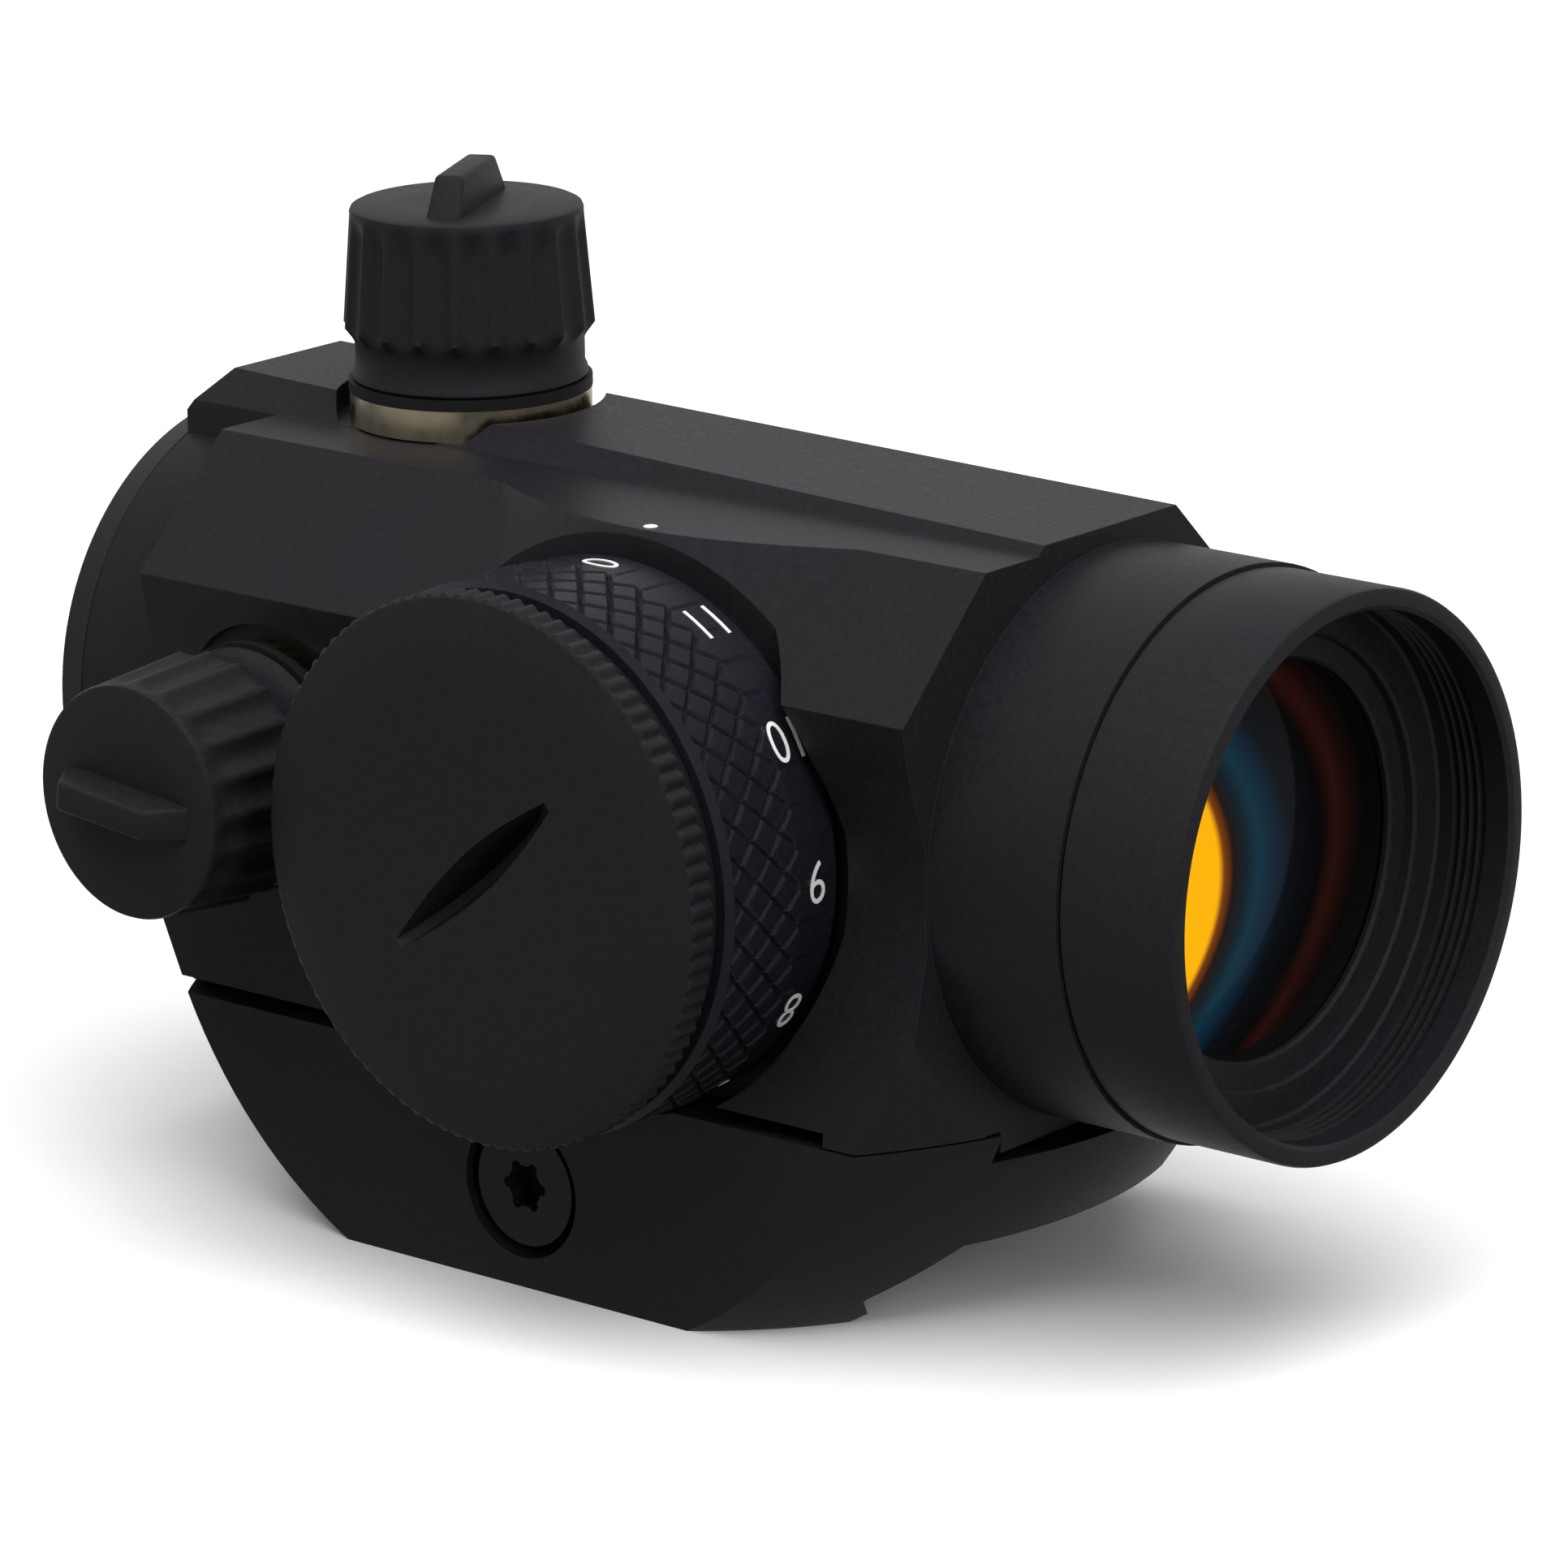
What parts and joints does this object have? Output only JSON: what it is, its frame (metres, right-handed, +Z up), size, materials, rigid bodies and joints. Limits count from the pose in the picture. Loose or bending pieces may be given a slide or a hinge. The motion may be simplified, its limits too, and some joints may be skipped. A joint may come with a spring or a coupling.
{
  "type": "red dot finder",
  "caption": "Compact tube red dot sight with a side brightness dial, capped top and side adjusters, and a low rail clamp.",
  "frame": {"origin": "on the rail-top plane, under the optical axis, at the station of the brightness dial", "axes": "+X from the eye to the target along the optical axis, +Z up, -Y the shooter's right with the brightness dial"},
  "size_m": [0.0731, 0.0436, 0.052],
  "materials": {
    "black_anodised": "bead-blasted, black anodised aluminium",
    "inner_black": "flat black inside finish on aluminium",
    "optical_glass": "coated optical glass, amber reflection",
    "emitter_epoxy": "clear red epoxy",
    "spring_steel": "bright spring steel",
    "turned_brass": "turned brass, pale",
    "seal_rubber": "black rubber",
    "board_green": "fibreglass board with solder mask",
    "cell_steel": "nickel-plated steel",
    "blackened_steel": "black oxide on steel"
  },
  "bodies": {
    "sight": {"housing": "black_anodised", "objective_ring": "black_anodised", "eyepiece_ring": "black_anodised", "ocular_window": "optical_glass", "ocular_retainer": "black_anodised", "elevation_bushing": "turned_brass", "windage_bushing": "turned_brass", "dial_hub": "black_anodised", "circuit_board": "board_green", "battery_contact": "spring_steel", "coin_cell": "cell_steel", "detent_ball": "spring_steel", "detent_spring": "spring_steel", "dial_retainer": "spring_steel", "return_spring": "spring_steel", "mount_base": "black_anodised", "base_screws": "blackened_steel"},
    "dial": {"brightness_dial": "black_anodised"},
    "battery_cap_lift": {"battery_cap_seal": "seal_rubber"},
    "battery_cap_turn": {"battery_cap": "black_anodised"},
    "elevation_cap_lift": {"elevation_cap_seal": "seal_rubber"},
    "elevation_cap_turn": {"elevation_cap": "black_anodised"},
    "windage_cap_lift": {"windage_cap_seal": "seal_rubber"},
    "windage_cap_turn": {"windage_cap": "black_anodised"},
    "elevation_drum": {"elevation_screw": "turned_brass"},
    "elevation_push": {"elevation_plunger": "spring_steel"},
    "windage_drum": {"windage_screw": "turned_brass"},
    "windage_push": {"windage_plunger": "spring_steel"},
    "gimbal": {"gimbal_ring": "black_anodised"},
    "cartridge": {"cartridge_tube": "inner_black", "lens_retainer": "inner_black", "objective_lens": "optical_glass", "emitter_arm": "inner_black", "led_emitter": "emitter_epoxy"},
    "bolt": {"crossbolt": "blackened_steel"},
    "jaw": {"clamp_jaw": "black_anodised", "jaw_nut": "blackened_steel"}
  },
  "joints": [
    {"name": "dial_turn", "type": "hinge", "parent": "sight", "child": "dial", "pos_m": [0, -0.018, 0.0199], "axis": [0, 1, 0], "range_deg": [0, 330]},
    {"name": "battery_cap_unscrew", "type": "slide", "parent": "sight", "child": "battery_cap_lift", "axis": [0, -1, 0], "range_m": [0, 0.00225]},
    {"name": "battery_cap_turn", "type": "hinge", "parent": "battery_cap_lift", "child": "battery_cap_turn", "pos_m": [0, -0.024, 0.0199], "axis": [0, -1, 0], "range_deg": [0, 1082]},
    {"name": "elevation_cap_unscrew", "type": "slide", "parent": "sight", "child": "elevation_cap_lift", "axis": [0, 0, 1], "range_m": [0, 0.002]},
    {"name": "elevation_cap_turn", "type": "hinge", "parent": "elevation_cap_lift", "child": "elevation_cap_turn", "pos_m": [-0.0223, 0, 0.0419], "axis": [0, 0, 1], "range_deg": [0, 1442]},
    {"name": "windage_cap_unscrew", "type": "slide", "parent": "sight", "child": "windage_cap_lift", "axis": [0, -1, 0], "range_m": [0, 0.002]},
    {"name": "windage_cap_turn", "type": "hinge", "parent": "windage_cap_lift", "child": "windage_cap_turn", "pos_m": [-0.0223, -0.022, 0.0199], "axis": [0, -1, 0], "range_deg": [0, 1442]},
    {"name": "elevation_feed", "type": "slide", "parent": "sight", "child": "elevation_push", "axis": [0, 0, 1], "range_m": [-0.00035, 0.00035]},
    {"name": "elevation_adjust", "type": "hinge", "parent": "sight", "child": "elevation_drum", "pos_m": [-0.0223, 0, 0.0369], "axis": [0, 0, 1], "range_deg": [-362, 362]},
    {"name": "windage_feed", "type": "slide", "parent": "sight", "child": "windage_push", "axis": [0, -1, 0], "range_m": [-0.00035, 0.00035]},
    {"name": "windage_adjust", "type": "hinge", "parent": "sight", "child": "windage_drum", "pos_m": [-0.0223, -0.017, 0.0199], "axis": [0, -1, 0], "range_deg": [-362, 362]},
    {"name": "cartridge_yaw", "type": "hinge", "parent": "sight", "child": "gimbal", "pos_m": [0.024, 0, 0.0199], "axis": [0, 0, 1], "range_deg": [-0.44, 0.44]},
    {"name": "cartridge_pitch", "type": "hinge", "parent": "gimbal", "child": "cartridge", "pos_m": [0.024, 0, 0.0199], "axis": [0, 1, 0], "range_deg": [-0.44, 0.44]},
    {"name": "jaw_slide", "type": "slide", "parent": "sight", "child": "jaw", "axis": [0, 1, 0], "range_m": [0, 0.0028]},
    {"name": "crossbolt_turn", "type": "hinge", "parent": "sight", "child": "bolt", "pos_m": [-0.0056, -0.014, 0.0007], "axis": [0, -1, 0], "range_deg": [0, 1442]}
  ],
  "couplings": [
    {"joint": "battery_cap_turn", "follows": "battery_cap_unscrew", "rad_per_m": 8377.6},
    {"joint": "elevation_cap_turn", "follows": "elevation_cap_unscrew", "rad_per_m": 12566},
    {"joint": "windage_cap_turn", "follows": "windage_cap_unscrew", "rad_per_m": 12566},
    {"joint": "elevation_adjust", "follows": "elevation_feed", "rad_per_m": 17952},
    {"joint": "windage_adjust", "follows": "windage_feed", "rad_per_m": 17952},
    {"joint": "cartridge_pitch", "follows": "elevation_feed", "rad_per_m": 21.598},
    {"joint": "cartridge_yaw", "follows": "windage_feed", "rad_per_m": 21.598},
    {"joint": "crossbolt_turn", "follows": "jaw_slide", "rad_per_m": 8976}
  ]
}
